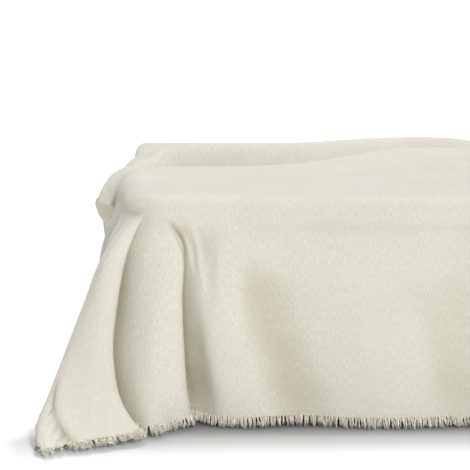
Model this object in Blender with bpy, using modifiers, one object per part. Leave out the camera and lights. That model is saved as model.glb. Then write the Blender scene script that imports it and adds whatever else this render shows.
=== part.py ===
"""A fringed bedspread as it falls over a double bed, in metres, +Z up.

The origin is on the floor under the middle of the bed. +Y runs to the head, and the foot faces -Y.
One function, cloth_point, says where each point of the flat cloth lies. The cloth is flat on a core
rectangle, rolls over the mattress edge, and hangs as a skirt whose folds are the rows of the tables.
"""

import math
import random

import bmesh
import bpy
import numpy as np

COLLECTION = "fringed_bedspread"

# The bed under the cloth.
BED_WIDTH = 1.40
BED_LENGTH = 2.00
BASE_HEIGHT = 0.330
MATTRESS_HEIGHT = 0.219
BASE_INSET = 0.015
CORNER_RADIUS = 0.10
MATTRESS_ROUNDING = 0.05
BASE_ROUNDING = 0.006
TOUCH_GAP = 0.0003

# The cloth, by its flat sizes. u runs across the bed and v along it.
CLOTH_WIDTH = 2.40
CLOTH_THICKNESS = 0.0025
FOOT_HEM_V = -1.51
HEAD_HEM_V = 0.915
SIDE_CLEARANCE = 0.002
EDGE_RADIUS = 0.048

# The fringe.
FRINGE_LENGTH = 0.028
STRIP_HEIGHT = 0.005
STRIP_THICKNESS = 0.0018
STRIP_GAP = 0.0011
LOCK_SHARE = 0.58
LOCK_LEAN = 0.16
SHORTEST_LOCK = 0.82
FOOT_LOCKS = 164
HEAD_LOCKS = 104
FLOOR_CLEARANCE = 0.0008
# Keeps a division away from zero
TINY = 1e-9
FOOT_SWAY = (-0.10, 0.10)
HEAD_SWAY = (0.00, 0.08)
HEM_CORNER_MARGIN = 0.004

# Heights worked out from the above.
MATTRESS_TOP = BASE_HEIGHT + TOUCH_GAP + MATTRESS_HEIGHT
CLOTH_TOP = MATTRESS_TOP + TOUCH_GAP + CLOTH_THICKNESS / 2
EDGE_Z = CLOTH_TOP - EDGE_RADIUS
CORE_X = BED_WIDTH / 2 - CORNER_RADIUS
CORE_Y = BED_LENGTH / 2 - CORNER_RADIUS
SKIRT_OUT = CORNER_RADIUS + SIDE_CLEARANCE + CLOTH_THICKNESS / 2
ARC_START = SKIRT_OUT - EDGE_RADIUS
ARC_END = ARC_START + EDGE_RADIUS * math.pi / 2
SIDE_REACH = CLOTH_WIDTH / 2 - CORE_X
FOOT_REACH = -CORE_Y - FOOT_HEM_V

# Skirt sections are cut at these fractions of the drop: 42, 30, 18 and 7 cm above the floor, and the hem.
SECTIONS = (0.0, 0.17, 0.43, 0.68, 0.91, 1.0)

# A row of a corner table is one fold line of the skirt, from the bed edge to the hem.
# along: hem distance from the cloth's corner, positive on the foot and negative on the side.
# Each pair is (inward from the mattress side, outward from its foot) at a section. Last is the hem height.
LEFT_CORNER = (
    # along, 42 cm, 30 cm, 18 cm, 7 cm, hem, hem height
    (-1.02, (-0.030, -0.510), (-0.050, -0.510), (-0.068, -0.512), (-0.082, -0.515), (-0.086, -0.515), 0.042),
    (-0.87, (-0.020, -0.365), (-0.034, -0.366), (-0.046, -0.370), (-0.056, -0.374), (-0.060, -0.375), 0.042),
    (-0.73, (-0.036, -0.245), (-0.062, -0.248), (-0.084, -0.256), (-0.104, -0.262), (-0.108, -0.264), 0.040),
    (-0.59, (-0.024, -0.128), (-0.036, -0.135), (-0.046, -0.148), (-0.054, -0.160), (-0.056, -0.164), 0.038),
    (-0.45, (-0.040, -0.045), (-0.068, -0.052), (-0.094, -0.062), (-0.118, -0.072), (-0.124, -0.075), 0.036),
    (-0.31, (-0.026, 0.000), (-0.040, 0.006), (-0.052, 0.010), (-0.062, 0.014), (-0.066, 0.015), 0.034),
    (-0.18, (-0.034, 0.020), (-0.070, 0.042), (-0.102, 0.074), (-0.132, 0.106), (-0.146, 0.118), 0.030),
    (-0.07, (-0.039, 0.038), (-0.091, 0.086), (-0.138, 0.142), (-0.180, 0.198), (-0.192, 0.218), 0.022),
    (0.00, (-0.032, 0.052), (-0.084, 0.116), (-0.126, 0.184), (-0.164, 0.246), (-0.170, 0.276), 0.019),
    (0.08, (-0.026, 0.058), (-0.066, 0.122), (-0.096, 0.178), (-0.110, 0.226), (-0.095, 0.252), 0.022),
    (0.16, (-0.006, 0.056), (-0.036, 0.114), (-0.052, 0.164), (-0.042, 0.202), (-0.020, 0.224), 0.026),
    (0.23, (0.013, 0.042), (-0.012, 0.090), (-0.014, 0.136), (0.012, 0.174), (0.042, 0.196), 0.028),
    (0.325, (0.026, 0.014), (0.004, 0.036), (-0.010, 0.066), (-0.006, 0.096), (0.004, 0.118), 0.028),
    (0.42, (0.060, 0.046), (0.038, 0.084), (0.034, 0.122), (0.052, 0.158), (0.070, 0.172), 0.028),
    (0.50, (0.106, 0.048), (0.098, 0.082), (0.096, 0.104), (0.106, 0.118), (0.117, 0.123), 0.029),
    (0.56, (0.138, 0.042), (0.142, 0.069), (0.148, 0.087), (0.158, 0.098), (0.166, 0.102), 0.030),
    (0.615, (0.146, 0.016), (0.140, 0.021), (0.140, 0.024), (0.150, 0.028), (0.158, 0.030), 0.030),
    (0.66, (0.162, 0.019), (0.158, 0.028), (0.168, 0.028), (0.184, 0.030), (0.192, 0.032), 0.030),
    (0.70, (0.188, 0.026), (0.180, 0.047), (0.190, 0.044), (0.207, 0.043), (0.215, 0.044), 0.030),
    (0.75, (0.230, 0.030), (0.212, 0.056), (0.213, 0.073), (0.230, 0.084), (0.238, 0.088), 0.030),
    (0.84, (0.322, 0.031), (0.310, 0.056), (0.302, 0.078), (0.304, 0.096), (0.306, 0.101), 0.030),
)
RIGHT_CORNER = (
    # along, 42 cm, 30 cm, 18 cm, 7 cm, hem, hem height
    (-1.05, (-0.026, -0.540), (-0.044, -0.540), (-0.060, -0.542), (-0.072, -0.545), (-0.076, -0.545), 0.042),
    (-0.86, (-0.034, -0.365), (-0.058, -0.368), (-0.080, -0.372), (-0.098, -0.378), (-0.102, -0.380), 0.040),
    (-0.68, (-0.022, -0.205), (-0.036, -0.210), (-0.046, -0.220), (-0.056, -0.228), (-0.058, -0.230), 0.040),
    (-0.50, (-0.040, -0.078), (-0.068, -0.086), (-0.092, -0.096), (-0.114, -0.104), (-0.120, -0.106), 0.038),
    (-0.34, (-0.026, -0.006), (-0.040, -0.002), (-0.050, 0.002), (-0.060, 0.004), (-0.064, 0.004), 0.034),
    (-0.19, (-0.040, 0.018), (-0.074, 0.038), (-0.106, 0.066), (-0.134, 0.094), (-0.142, 0.104), 0.030),
    (-0.07, (-0.046, 0.040), (-0.092, 0.088), (-0.136, 0.140), (-0.176, 0.190), (-0.178, 0.206), 0.022),
    (0.00, (-0.038, 0.054), (-0.080, 0.116), (-0.120, 0.178), (-0.158, 0.234), (-0.154, 0.260), 0.019),
    (0.11, (-0.012, 0.060), (-0.044, 0.118), (-0.064, 0.168), (-0.066, 0.212), (-0.052, 0.232), 0.024),
    (0.24, (0.024, 0.046), (0.006, 0.086), (0.004, 0.124), (0.024, 0.160), (0.044, 0.178), 0.028),
    (0.345, (0.040, 0.016), (0.024, 0.036), (0.016, 0.062), (0.022, 0.088), (0.030, 0.104), 0.028),
    (0.45, (0.082, 0.046), (0.072, 0.080), (0.074, 0.110), (0.088, 0.138), (0.100, 0.148), 0.029),
    (0.54, (0.134, 0.046), (0.136, 0.074), (0.142, 0.092), (0.154, 0.104), (0.162, 0.108), 0.030),
    (0.62, (0.158, 0.018), (0.156, 0.028), (0.158, 0.038), (0.166, 0.046), (0.172, 0.050), 0.030),
    (0.70, (0.200, 0.029), (0.200, 0.050), (0.204, 0.068), (0.212, 0.082), (0.218, 0.086), 0.030),
    (0.80, (0.284, 0.032), (0.282, 0.056), (0.282, 0.078), (0.284, 0.096), (0.286, 0.101), 0.030),
)

# Where the skirt hangs straight, a row holds only how far out it hangs at each section.
FOOT_PANEL = (
    # along, 42 cm, 30 cm, 18 cm, 7 cm, hem, hem height
    (1.00, 0.030, 0.055, 0.079, 0.098, 0.104, 0.030),
    (1.20, 0.029, 0.054, 0.079, 0.098, 0.104, 0.030),
    (1.40, 0.030, 0.055, 0.079, 0.098, 0.104, 0.030),
)
LEFT_SIDE = (
    (-2.50, 0.024, 0.040, 0.052, 0.062, 0.066, 0.044),
    (-2.24, 0.044, 0.078, 0.086, 0.092, 0.094, 0.044),
    (-2.02, 0.076, 0.126, 0.120, 0.116, 0.116, 0.042),
    (-1.80, 0.040, 0.070, 0.080, 0.088, 0.092, 0.044),
    (-1.54, 0.024, 0.038, 0.050, 0.060, 0.064, 0.046),
    (-1.28, 0.028, 0.048, 0.066, 0.080, 0.085, 0.044),
)
RIGHT_SIDE = (
    (-2.50, 0.024, 0.040, 0.054, 0.064, 0.068, 0.044),
    (-2.22, 0.034, 0.060, 0.080, 0.096, 0.100, 0.042),
    (-1.92, 0.022, 0.036, 0.048, 0.058, 0.062, 0.046),
    (-1.62, 0.032, 0.056, 0.076, 0.092, 0.096, 0.044),
    (-1.32, 0.022, 0.038, 0.050, 0.060, 0.064, 0.044),
)

# Two folds lie across the top of the bed, as lines of the flat cloth from its left side to its right.
RIDGE = (
    # u, v, lift
    (-1.040, -0.860, 0.0),
    (-0.860, -0.700, 0.022),
    (-0.660, -0.535, 0.024),
    (-0.520, -0.465, 0.020),
    (-0.330, -0.430, 0.018),
    (-0.080, -0.260, 0.020),
    (0.300, 0.290, 0.020),
    (0.600, 0.400, 0.018),
    (0.860, 0.430, 0.0),
)
# A thick roll lies behind the ridge, and its left end hangs over the side of the bed.
ROLL = (
    (-0.778, -0.588, 0.0),
    (-0.748, -0.562, 0.082),
    (-0.726, -0.543, 0.072),
    (-0.700, -0.518, 0.046),
    (-0.672, -0.488, 0.036),
    (-0.635, -0.450, 0.048),
    (-0.580, -0.405, 0.074),
    (-0.470, -0.370, 0.084),
    (-0.310, -0.330, 0.084),
    (-0.100, -0.170, 0.076),
    (0.270, 0.375, 0.058),
    (0.580, 0.480, 0.050),
    (0.860, 0.510, 0.0),
)
# Each fold's width towards the foot and towards the head
RIDGE_WIDTHS = (0.200, 0.026)
ROLL_WIDTHS = (0.058, 0.240)

# The cloth's mesh lines that cross the core follow the ridge. Each lies at a distance behind it.
ROWS_BEFORE_RIDGE = 11
ROWS_BEHIND_RIDGE = (0.0, 0.022, 0.050, 0.080, 0.110, 0.150, 0.200, 0.260, 0.330)
ROWS_TO_HEAD = 6
LONG_LINES = 24
ARC_STEPS = 4
# Share of a column's first slope that the cloth keeps as it leaves the bed edge
FIRST_LEAN = 0.4
SKIRT_STEPS = 7
CORNER_STEPS = 14


def smooth(knots, values, at):
    """A smooth curve through values at knots, read at each place, straight past both ends."""
    knots, values, at = np.asarray(knots), np.asarray(values, float), np.asarray(at, float)
    width = np.diff(knots)
    slope = np.diff(values) / width
    inner = (slope[:-1] * width[1:] + slope[1:] * width[:-1]) / (width[1:] + width[:-1])
    tangent = np.concatenate([slope[:1], inner, slope[-1:]])
    i = np.clip(np.searchsorted(knots, at) - 1, 0, len(width) - 1)
    near = np.clip(at, knots[0], knots[-1])
    x = (near - knots[i]) / width[i]
    rise = x * x * (3 - 2 * x)
    curve = values[i] + rise * (values[i + 1] - values[i])
    curve = curve + width[i] * x * (1 - x) * ((1 - x) * tangent[i] - x * tangent[i + 1])
    return curve + (at - near) * np.where(at < near, tangent[0], tangent[-1])


def fold_rows(corner, side):
    """All rows of one half of the skirt in one form: along, inward and outward at each section, height."""
    to_outward = -FOOT_HEM_V - BED_LENGTH / 2
    to_inward = (BED_WIDTH - CLOTH_WIDTH) / 2
    rows = [(r[0], [(-out, r[0] + to_outward) for out in r[1:6]], r[6]) for r in side]
    rows += [(r[0], list(r[1:6]), r[6]) for r in corner]
    rows += [(r[0], [(r[0] + to_inward, out) for out in r[1:6]], r[6]) for r in FOOT_PANEL]
    return rows


HALVES = {-1: fold_rows(LEFT_CORNER, LEFT_SIDE), 1: fold_rows(RIGHT_CORNER, RIGHT_SIDE)}


def edge_place(along):
    """Where the skirt leaves the bed edge, inward and outward, and the cloth's reach on that line."""
    on_foot = np.clip((CLOTH_WIDTH / 2 - CORE_X - along) / FOOT_REACH, 0, None)
    on_side = np.clip((FOOT_REACH + along) / SIDE_REACH, 0, None)
    turn = np.where(along > 0, np.arctan(on_foot), math.pi / 2 - np.arctan(on_side))
    inward = CORNER_RADIUS - SKIRT_OUT * np.sin(turn) + np.clip(along - SIDE_REACH, 0, None)
    outward = SKIRT_OUT * np.cos(turn) - CORNER_RADIUS + np.clip(along + FOOT_REACH, None, 0)
    foot_reach = FOOT_REACH / np.cos(np.arctan(on_foot))
    side_reach = SIDE_REACH / np.cos(np.arctan(on_side))
    reach = np.where(along > 0, foot_reach, side_reach)
    return inward, outward, reach


def skirt_point(half, along, drop):
    """A point of the skirt: x, y and z at a share of the drop from the bed edge (0) to the hem (1)."""
    rows = HALVES[half]
    knots = [row[0] for row in rows]
    inward, outward, _ = edge_place(along)
    level = [[inward, outward]]
    for section in range(len(SECTIONS) - 1):
        level.append([smooth(knots, [row[1][section][axis] for row in rows], along) for axis in (0, 1)])
    hem = smooth(knots, [row[2] for row in rows], along)
    place = []
    for axis in (0, 1):
        column = np.array([pair[axis] for pair in level])
        place.append(column_curve(column, drop))
    x = half * (BED_WIDTH / 2 - place[0])
    return x, -BED_LENGTH / 2 - place[1], EDGE_Z + drop * (hem - EDGE_Z)


def column_curve(column, drop):
    """A smooth curve down one column of sections. It leaves the bed edge straight down."""
    width = np.diff(SECTIONS)[:, None]
    slope = np.diff(column, axis=0) / width
    inner = (slope[:-1] * width[1:] + slope[1:] * width[:-1]) / (width[1:] + width[:-1])
    tangent = np.concatenate([slope[:1] * FIRST_LEAN, inner, slope[-1:]])
    near = np.clip(drop, 0, 1)
    i = np.clip(np.searchsorted(SECTIONS, near) - 1, 0, len(SECTIONS) - 2)
    j = np.arange(column.shape[1])
    step = width[i, 0]
    x = (near - np.asarray(SECTIONS)[i]) / step
    curve = column[i, j] + x * x * (3 - 2 * x) * (column[i + 1, j] - column[i, j])
    curve = curve + step * x * (1 - x) * ((1 - x) * tangent[i, j] - x * tangent[i + 1, j])
    return curve + (drop - near) * tangent[-1]


def fold_lift(u, v, places, front, back):
    """The lift that one bent fold gives: a smooth hump across it, changing evenly along it."""
    best = np.full(u.shape, np.inf)
    lift = np.zeros(u.shape)
    for (u0, v0, h0), (u1, v1, h1) in zip(places, places[1:]):
        length = math.hypot(u1 - u0, v1 - v0)
        along = np.clip(((u - u0) * (u1 - u0) + (v - v0) * (v1 - v0)) / length**2, 0, 1)
        across = (v - v0) * (u1 - u0) - (u - u0) * (v1 - v0)
        off = np.hypot(u - u0 - along * (u1 - u0), v - v0 - along * (v1 - v0))
        near = np.clip(1 - off / np.where(across < 0, front, back), 0, 1)
        here = (h0 + (h1 - h0) * along) * near * near * (3 - 2 * near)
        lift = np.where(off < best, here, lift)
        best = np.minimum(best, off)
    return lift


def rounded(places):
    """The same line with two more places between each two, on a smooth curve through them."""
    knots = range(len(places))
    at = np.linspace(0, len(places) - 1, 3 * (len(places) - 1) + 1)
    return list(zip(*(smooth(knots, numbers, at) for numbers in zip(*places))))


TOP_FOLDS = ((rounded(RIDGE), *RIDGE_WIDTHS), (rounded(ROLL), *ROLL_WIDTHS))


def top_folds(u, v):
    """How far the folds lift the cloth at a point of the flat cloth."""
    return sum(fold_lift(u, v, *fold) for fold in TOP_FOLDS)


def cloth_point(u, v):
    """Where points of the flat cloth lie on the bed, as an array of x, y and z."""
    u, v = np.asarray(u, float), np.asarray(v, float)
    points = np.zeros((len(u), 3))
    side = np.clip(np.abs(u) - CORE_X, 0, None)
    foot = np.clip(-CORE_Y - v, 0, None)
    far = np.hypot(side, foot)
    turn = np.arctan2(side, foot)
    outward = np.stack([np.sign(u) * np.sin(turn), -np.cos(turn)], axis=1) * (far > 0)[:, None]
    bend = np.clip((far - ARC_START) / EDGE_RADIUS, 0, math.pi / 2)
    run = np.minimum(far, ARC_START) + EDGE_RADIUS * np.sin(bend)
    points[:, 0] = np.clip(u, -CORE_X, CORE_X) + outward[:, 0] * run
    points[:, 1] = np.maximum(v, -CORE_Y) + outward[:, 1] * run
    points[:, 2] = EDGE_Z + EDGE_RADIUS * np.cos(bend)
    on_foot = side * FOOT_REACH <= foot * SIDE_REACH
    foot_along = CLOTH_WIDTH / 2 - np.where(
        side > 0, CORE_X + FOOT_REACH * side / np.maximum(foot, TINY), np.abs(u)
    )
    side_along = np.where(
        foot > 0, SIDE_REACH * foot / np.maximum(side, TINY) - FOOT_REACH, FOOT_HEM_V - v
    )
    along = np.where(on_foot & (foot > 0), foot_along, side_along)
    for half in (-1, 1):
        hangs = (far > ARC_END) & ((u < 0) == (half < 0))
        if hangs.any():
            reach = edge_place(along[hangs])[2]
            drop = (far[hangs] - ARC_END) / (reach - ARC_END)
            points[hangs] = np.stack(skirt_point(half, along[hangs], drop), axis=1)
    lift = top_folds(u, v)
    points[:, :2] += outward * (lift * np.sin(bend))[:, None]
    points[:, 2] += lift * np.cos(bend)
    return points


def new_material(name, colour, roughness):
    material = bpy.data.materials.new(name)
    material.use_nodes = True
    shader = material.node_tree.nodes["Principled BSDF"]
    shader.inputs["Base Color"].default_value = (*colour, 1)
    shader.inputs["Roughness"].default_value = roughness
    shader.inputs["Metallic"].default_value = 0
    material.diffuse_color = (*colour, 1)
    return material


def new_object(name, bm, material, collection):
    """Puts a finished mesh in the collection, with its faces pointing out."""
    mesh = bpy.data.meshes.new(name)
    bmesh.ops.recalc_face_normals(bm, faces=bm.faces)
    bm.to_mesh(mesh)
    bm.free()
    mesh.materials.append(material)
    obj = bpy.data.objects.new(name, mesh)
    collection.objects.link(obj)
    return obj


def rounded_block(width, length, height, corner, rounding, steps):
    """A block with round corners in plan and soft edges, standing on z = 0."""
    bm = bmesh.new()
    bmesh.ops.create_cube(bm, size=1)
    bmesh.ops.scale(bm, vec=(width, length, height), verts=bm.verts)
    bmesh.ops.translate(bm, vec=(0, 0, height / 2), verts=bm.verts)
    upright = [e for e in bm.edges if abs(e.verts[0].co.z - e.verts[1].co.z) > height / 2]
    bmesh.ops.bevel(bm, geom=upright, offset=corner, segments=6, profile=0.5, affect="EDGES")
    level = [e for e in bm.edges if abs(e.verts[0].co.z - e.verts[1].co.z) < height / 2]
    bmesh.ops.bevel(bm, geom=level, offset=rounding, segments=steps, profile=0.5, affect="EDGES")
    return bm


def make_base(collection):
    material = new_material("base_cloth", (0.42, 0.40, 0.36), 0.85)
    bm = rounded_block(
        BED_WIDTH - 2 * BASE_INSET,
        BED_LENGTH - 2 * BASE_INSET,
        BASE_HEIGHT,
        CORNER_RADIUS - BASE_INSET,
        BASE_ROUNDING,
        1,
    )
    return new_object("bed_base", bm, material, collection)


def make_mattress(collection):
    material = new_material("mattress_cloth", (0.80, 0.79, 0.75), 0.8)
    bm = rounded_block(BED_WIDTH, BED_LENGTH, MATTRESS_HEIGHT, CORNER_RADIUS, MATTRESS_ROUNDING, 4)
    mattress = new_object("mattress", bm, material, collection)
    mattress.location.z = BASE_HEIGHT + TOUCH_GAP
    return mattress


def cross_rows(across):
    """The mesh lines across the core from foot to head, as the v at each place across."""
    ridge = np.interp(across, [place[0] for place in RIDGE], [place[1] for place in RIDGE])
    rows = [-CORE_Y + (ridge + CORE_Y) * step / ROWS_BEFORE_RIDGE for step in range(ROWS_BEFORE_RIDGE)]
    rows += [ridge + distance for distance in ROWS_BEHIND_RIDGE]
    last = rows[-1]
    rows += [last + (HEAD_HEM_V - last) * step / ROWS_TO_HEAD for step in range(1, ROWS_TO_HEAD + 1)]
    return rows


def ring_distances(reach):
    """How far each ring of the skirt's mesh lies from the core, for a line of the cloth's reach."""
    arc = [ARC_START + (ARC_END - ARC_START) * step / ARC_STEPS for step in range(ARC_STEPS + 1)]
    hang = [ARC_END + (reach - ARC_END) * step / SKIRT_STEPS for step in range(1, SKIRT_STEPS + 1)]
    return [0.0, *arc, *hang]


def add_patch(bm, rows):
    """One grid of the flat cloth. Each row is a list of (u, v)."""
    made = [[bm.verts.new((u, v, 0)) for u, v in row] for row in rows]
    for low, high in zip(made, made[1:]):
        for a, b, c, d in zip(low, low[1:], high[1:], high):
            if a.co != b.co and c.co != d.co:
                bm.faces.new((a, b, c, d))
            elif c.co != d.co:
                bm.faces.new((a, c, d))


def flat_cloth():
    """The cloth's mesh laid flat: a core, three skirts and two fanned corners, welded."""
    bm = bmesh.new()
    across = np.linspace(-CORE_X, CORE_X, LONG_LINES + 1)
    rows = cross_rows(across)
    add_patch(bm, [list(zip(across, row)) for row in rows])
    add_patch(bm, [[(u, -CORE_Y - far) for u in across] for far in ring_distances(FOOT_REACH)])
    for half in (-1, 1):
        ends = [row[0] if half < 0 else row[-1] for row in rows]
        add_patch(bm, [[(half * (CORE_X + far), v) for v in ends] for far in ring_distances(SIDE_REACH)])
        fan = []
        on_foot = np.linspace(SIDE_REACH, 0, CORNER_STEPS + 1)
        on_side = np.linspace(0, -FOOT_REACH, CORNER_STEPS + 1)
        for along in (*on_foot, *on_side[1:]):
            inward, outward, reach = (float(value) for value in edge_place(np.array(along)))
            sine = (CORNER_RADIUS - inward) / SKIRT_OUT
            cosine = (CORNER_RADIUS + outward) / SKIRT_OUT
            fan.append(
                [(half * (CORE_X + far * sine), -CORE_Y - far * cosine) for far in ring_distances(reach)]
            )
        add_patch(bm, [list(ring) for ring in zip(*fan)])
    bmesh.ops.remove_doubles(bm, verts=bm.verts, dist=1e-5)
    return bm


def make_spread(collection):
    """The bedspread: its flat mesh moved to where the cloth lies, then given its thickness."""
    material = new_material("spread_cloth", (0.72, 0.69, 0.58), 0.9)
    bm = flat_cloth()
    flat = np.array([vert.co[:] for vert in bm.verts])
    for vert, place in zip(bm.verts, cloth_point(flat[:, 0], flat[:, 1])):
        vert.co = place
    spread = new_object("bedspread", bm, material, collection)
    for face in spread.data.polygons:
        face.use_smooth = True
    body = spread.modifiers.new("Thickness", "SOLIDIFY")
    body.thickness = CLOTH_THICKNESS
    body.offset = 0
    return spread


def unit(vector):
    return vector / np.linalg.norm(vector, axis=-1, keepdims=True)


def make_fringe(name, hem_uv, past_uv, locks, seed, sway, collection):
    """A backing strip along a hem, with locks of yarn beyond it that sway off the cloth's plane."""
    chance = random.Random(seed)
    material = new_material(name + "_yarn", (0.76, 0.73, 0.62), 0.9)
    edges = np.linspace(0, 1, 2 * locks + 2)
    widen = (LOCK_SHARE - 0.5) * edges[1]
    edges[1:-1:2] -= widen
    edges[2:-1:2] += widen
    hem = cloth_point(*hem_uv(edges))
    down = unit(cloth_point(*past_uv(edges)) - hem)
    tangent = unit(np.gradient(hem, axis=0))
    face = unit(np.cross(tangent, down))
    low = hem + down * (STRIP_GAP + STRIP_HEIGHT)
    high = hem + down * STRIP_GAP
    half = face * STRIP_THICKNESS / 2
    bm = bmesh.new()
    rings = [
        [bm.verts.new(p) for p in (h + s, h - s, w - s, w + s)] for h, w, s in zip(high, low, half)
    ]
    bm.faces.new(rings[0])
    bm.faces.new(rings[-1][::-1])
    for i, (a, b) in enumerate(zip(rings, rings[1:])):
        for j, k in ((0, 1), (1, 2), (3, 0)):
            bm.faces.new((a[j], b[j], b[k], a[k]))
        root = bm.faces.new((a[2], b[2], b[3], a[3]))
        if i % 2 == 0:
            continue
        way = (down[i] + down[i + 1]) / 2 + tangent[i] * chance.uniform(-LOCK_LEAN, LOCK_LEAN)
        way = way + face[i] * chance.uniform(*sway)
        length = FRINGE_LENGTH * chance.uniform(SHORTEST_LOCK, 1.0)
        start = (low[i] + low[i + 1]) / 2
        centre = bmesh.ops.poke(bm, faces=[root])["verts"][0]
        centre.co = start + unit(way) * length
        if centre.co.z < FLOOR_CLEARANCE:
            lay_on_floor(centre, start, length)
    return new_object(name, bm, material, collection)


def lay_on_floor(tip, start, length):
    """Turns a lock outward so that its tip rests level with the floor and its length stays the same."""
    out = np.array([tip.co.x - start[0], tip.co.y - start[1]])
    lean = max(float(np.linalg.norm(out)), 1e-6)
    fall = start[2] - FLOOR_CLEARANCE
    run = math.sqrt(max(length**2 - fall**2, lean**2))
    tip.co = (start[0] + out[0] / lean * run, start[1] + out[1] / lean * run, FLOOR_CLEARANCE)


def foot_hem(share):
    reach = CLOTH_WIDTH / 2 - HEM_CORNER_MARGIN
    return -reach + 2 * reach * share, np.full_like(share, FOOT_HEM_V)


def past_foot_hem(share):
    u, v = foot_hem(share)
    side = np.clip(np.abs(u) - CORE_X, 0, None)
    step = STRIP_HEIGHT / np.hypot(side, FOOT_REACH)
    return u + np.sign(u) * side * step, v - FOOT_REACH * step


def head_hem(share):
    reach = CLOTH_WIDTH / 2 - HEM_CORNER_MARGIN
    return -reach + 2 * reach * share, np.full_like(share, HEAD_HEM_V)


def past_head_hem(share):
    u, v = head_hem(share)
    return u, v + STRIP_HEIGHT


def clear_scene():
    for obj in list(bpy.data.objects):
        bpy.data.objects.remove(obj, do_unlink=True)


def main():
    clear_scene()
    collection = bpy.data.collections.new(COLLECTION)
    bpy.context.scene.collection.children.link(collection)
    make_base(collection)
    make_mattress(collection)
    make_spread(collection)
    make_fringe("fringe_foot", foot_hem, past_foot_hem, FOOT_LOCKS, 5, FOOT_SWAY, collection)
    make_fringe("fringe_head", head_hem, past_head_hem, HEAD_LOCKS, 8, HEAD_SWAY, collection)


main()
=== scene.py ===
# %% [markdown]
# A fringed bedspread is one wide woven cloth with its own warp ends left loose as a fringe.
# It lies on a mattress and a plain base, and falls to the floor at the foot. This lesson dresses
# the solids that stand for those pieces. It starts by loading them, because every fold and every
# strand that follows takes its place from their boxes.

# %% Load the solids
import math
import random

import bmesh
import bpy
import numpy as np
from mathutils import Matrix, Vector


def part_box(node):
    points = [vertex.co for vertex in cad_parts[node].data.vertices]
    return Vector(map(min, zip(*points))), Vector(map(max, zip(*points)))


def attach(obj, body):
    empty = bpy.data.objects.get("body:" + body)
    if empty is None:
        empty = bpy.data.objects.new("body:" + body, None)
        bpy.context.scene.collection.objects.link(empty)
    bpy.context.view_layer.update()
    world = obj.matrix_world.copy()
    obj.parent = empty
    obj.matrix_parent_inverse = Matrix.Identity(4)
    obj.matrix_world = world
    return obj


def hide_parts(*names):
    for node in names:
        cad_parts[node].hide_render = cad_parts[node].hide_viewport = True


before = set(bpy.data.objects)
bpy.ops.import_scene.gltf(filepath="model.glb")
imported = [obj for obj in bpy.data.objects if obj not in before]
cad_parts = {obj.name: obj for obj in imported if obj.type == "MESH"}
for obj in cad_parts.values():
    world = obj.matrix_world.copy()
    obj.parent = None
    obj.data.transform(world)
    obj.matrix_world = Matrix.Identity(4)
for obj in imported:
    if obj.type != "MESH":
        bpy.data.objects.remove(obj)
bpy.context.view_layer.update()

print("solids:", sorted(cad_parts))

# %% [markdown]
# The bed sets every size. The mattress gives the top, the width and the length, and the cloth's
# flat sizes are those of the cut: 2.40 m across, and 2.43 m from hem to hem before the fringes.
# Flat places are given as u, across the bed, and v, along it towards the head, so a fold, a stitch
# and a thread of the weave can all be named by where they are in the cloth before it is laid.

# %% Sizes of the bed and the cloth
mattress_low, mattress_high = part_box("mattress")
HALF_WIDTH = mattress_high[0]
HALF_LENGTH = mattress_high[1]
MATTRESS_TOP = mattress_high[2]
MATTRESS_BOTTOM = mattress_low[2]
CORNER_RADIUS = 0.10
MATTRESS_ROUNDING = 0.05

CLOTH_WIDTH = 2.40
CLOTH_THICKNESS = 0.0022
FOOT_HEM_V = -1.51
HEAD_HEM_V = 0.915
EDGE_RADIUS = 0.048
SOLID_THICKNESS = 0.0025
GAP_ON_TOP = 0.0003
GAP_AT_EDGES = 0.002
TINY = 1e-9

CLOTH_TOP = MATTRESS_TOP + GAP_ON_TOP + SOLID_THICKNESS / 2
EDGE_Z = CLOTH_TOP - EDGE_RADIUS
CORE_X = HALF_WIDTH - CORNER_RADIUS
CORE_Y = HALF_LENGTH - CORNER_RADIUS
SKIRT_OUT = CORNER_RADIUS + GAP_AT_EDGES + SOLID_THICKNESS / 2
ARC_START = SKIRT_OUT - EDGE_RADIUS
ARC_END = ARC_START + EDGE_RADIUS * math.pi / 2
SIDE_REACH = CLOTH_WIDTH / 2 - CORE_X
FOOT_REACH = -CORE_Y - FOOT_HEM_V
print(f"mattress top {MATTRESS_TOP:.3f} m, cloth {CLOTH_WIDTH:.2f} by {HEAD_HEM_V - FOOT_HEM_V:.3f} m")

# %% [markdown]
# Cloth that falls over a corner has too much width there, and it stands out in folds. They could
# be left to a cloth simulation, but then they would fall where chance puts them. Here each fold
# line is a row of a table instead. A row says where that line passes at five heights between the
# bed edge and the hem, so the big ear at the corner, the rolls beside it and the tucks between
# them can be set one by one. The first number is the distance along the hem from the cloth's
# corner, positive along the foot and negative along the side. A pair is how far in from the
# mattress side, and how far out from its foot. The last number is the height of the hem.

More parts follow.
